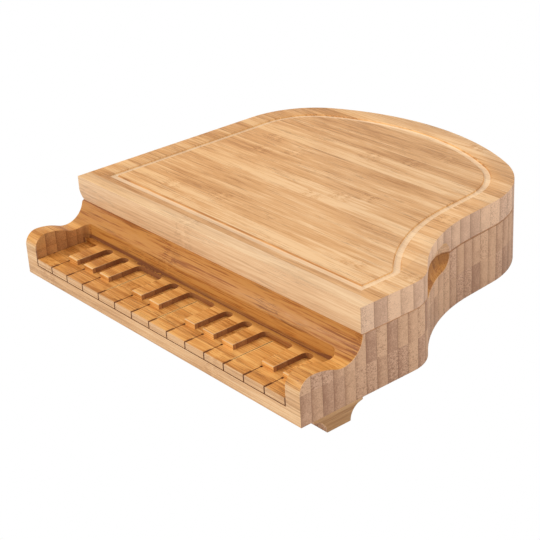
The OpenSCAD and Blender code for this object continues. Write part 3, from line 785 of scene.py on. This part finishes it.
# Camera fitted to the photograph
view = {
    "azimuth": 51.30,
    "elevation": 25.95,
    "roll": 3.46,
    "distance": 1.0823,
    "target": (0.0365, -0.0796, 0.054),
    "lens": 94.93,
    "sensor": 36.0,
    "nearest": 0.05,
    "farthest": 20.0,
}
azimuth, elevation, roll = (math.radians(view[k]) for k in ("azimuth", "elevation", "roll"))
backward = Vector((
    math.sin(azimuth) * math.cos(elevation),
    -math.cos(azimuth) * math.cos(elevation),
    math.sin(elevation),
))
rightward = (-backward).cross(Vector((0, 0, 1))).normalized()
downward = (-backward).cross(rightward)
turnedRight = math.cos(roll) * rightward + math.sin(roll) * downward
turnedDown = -math.sin(roll) * rightward + math.cos(roll) * downward
cameraData = bpy.data.cameras.new("photoCamera")
cameraData.sensor_width = view["sensor"]
cameraData.lens = view["lens"]
cameraData.clip_start = view["nearest"]
cameraData.clip_end = view["farthest"]
camera = bpy.data.objects.new("photoCamera", cameraData)
bpy.context.scene.collection.objects.link(camera)
stand = Matrix((turnedRight, -turnedDown, backward)).transposed().to_4x4()
stand.translation = Vector(view["target"]) + backward * view["distance"]
camera.matrix_world = stand
bpy.context.scene.camera = camera

# Lights, surroundings and floor
studio = {
    "keyDirection": (-0.38, -0.70, 0.60),
    "keyStrength": 1.40,
    "keyAngle": 24,
    "fillPlace": (0.62, 0.10, 0.50),
    "fillTarget": (0.12, -0.02, 0.06),
    "fillSize": 0.35,
    "fillPower": 0.6,
    "softColor": (1.0, 0.99, 0.97, 1.0),
    "softStrength": 0.70,
    "white": (1.0, 1.0, 1.0, 1.0),
    "floorColor": (0.85, 0.85, 0.84, 1.0),
    "floorRoughness": 0.9,
    "floorHalf": 3.0,
}


# A sun whose direction points from the object to the light
def sunLight(name, direction, strength, angle):
    data = bpy.data.lights.new(name, "SUN")
    data.energy = strength
    data.angle = math.radians(angle)
    obj = bpy.data.objects.new(name, data)
    obj.rotation_mode = "QUATERNION"
    obj.rotation_quaternion = Vector(direction).to_track_quat("Z", "Y")
    bpy.context.scene.collection.objects.link(obj)


def diskLight(name, place, target, size, power):
    data = bpy.data.lights.new(name, "AREA")
    data.shape = "DISK"
    data.size = size
    data.energy = power
    obj = bpy.data.objects.new(name, data)
    obj.location = place
    obj.rotation_mode = "QUATERNION"
    obj.rotation_quaternion = (Vector(place) - Vector(target)).to_track_quat("Z", "Y")
    bpy.context.scene.collection.objects.link(obj)


sunLight("keyLight", studio["keyDirection"], studio["keyStrength"], studio["keyAngle"])
diskLight(
    "fillLight", studio["fillPlace"], studio["fillTarget"],
    studio["fillSize"], studio["fillPower"],
)

# The camera sees plain white, and the object is lit by a softer one
world = bpy.data.worlds.new("studio")
world.use_nodes = True
bpy.context.scene.world = world
worldTree = world.node_tree
worldTree.nodes.clear()
worldOut = worldTree.nodes.new("ShaderNodeOutputWorld")
soft = worldTree.nodes.new("ShaderNodeBackground")
soft.inputs["Color"].default_value = studio["softColor"]
soft.inputs["Strength"].default_value = studio["softStrength"]
seen = worldTree.nodes.new("ShaderNodeBackground")
seen.inputs["Color"].default_value = studio["white"]
seen.inputs["Strength"].default_value = 1.0
path = worldTree.nodes.new("ShaderNodeLightPath")
blend = worldTree.nodes.new("ShaderNodeMixShader")
worldTree.links.new(path.outputs["Is Camera Ray"], blend.inputs[0])
worldTree.links.new(soft.outputs[0], blend.inputs[1])
worldTree.links.new(seen.outputs[0], blend.inputs[2])
worldTree.links.new(blend.outputs[0], worldOut.inputs["Surface"])

# The floor is white to the camera too, and sends light back up
floorMat, floorWire, floorBsdf, floorCoord = shade("floorWhite")
floorTree = floorWire.tree
floorBsdf.inputs["Base Color"].default_value = studio["floorColor"]
floorBsdf.inputs["Roughness"].default_value = studio["floorRoughness"]
glow = floorTree.nodes.new("ShaderNodeEmission")
glow.inputs["Color"].default_value = studio["white"]
floorPath = floorTree.nodes.new("ShaderNodeLightPath")
floorMix = floorTree.nodes.new("ShaderNodeMixShader")
floorOut = next(n for n in floorTree.nodes if n.type == "OUTPUT_MATERIAL")
floorTree.links.new(floorPath.outputs["Is Camera Ray"], floorMix.inputs[0])
floorTree.links.new(floorBsdf.outputs[0], floorMix.inputs[1])
floorTree.links.new(glow.outputs[0], floorMix.inputs[2])
floorTree.links.new(floorMix.outputs[0], floorOut.inputs["Surface"])
floorMesh = bpy.data.meshes.new("floor")
half = studio["floorHalf"]
corners = [(-half, -half, 0), (half, -half, 0), (half, half, 0), (-half, half, 0)]
floorMesh.from_pydata(corners, [], [(0, 1, 2, 3)])
floorMesh.materials.append(floorMat)
floor = bpy.data.objects.new("floor", floorMesh)
bpy.context.scene.collection.objects.link(floor)
bpy.context.scene.view_settings.view_transform = "Standard"
print("stage: camera, lights and floor made")
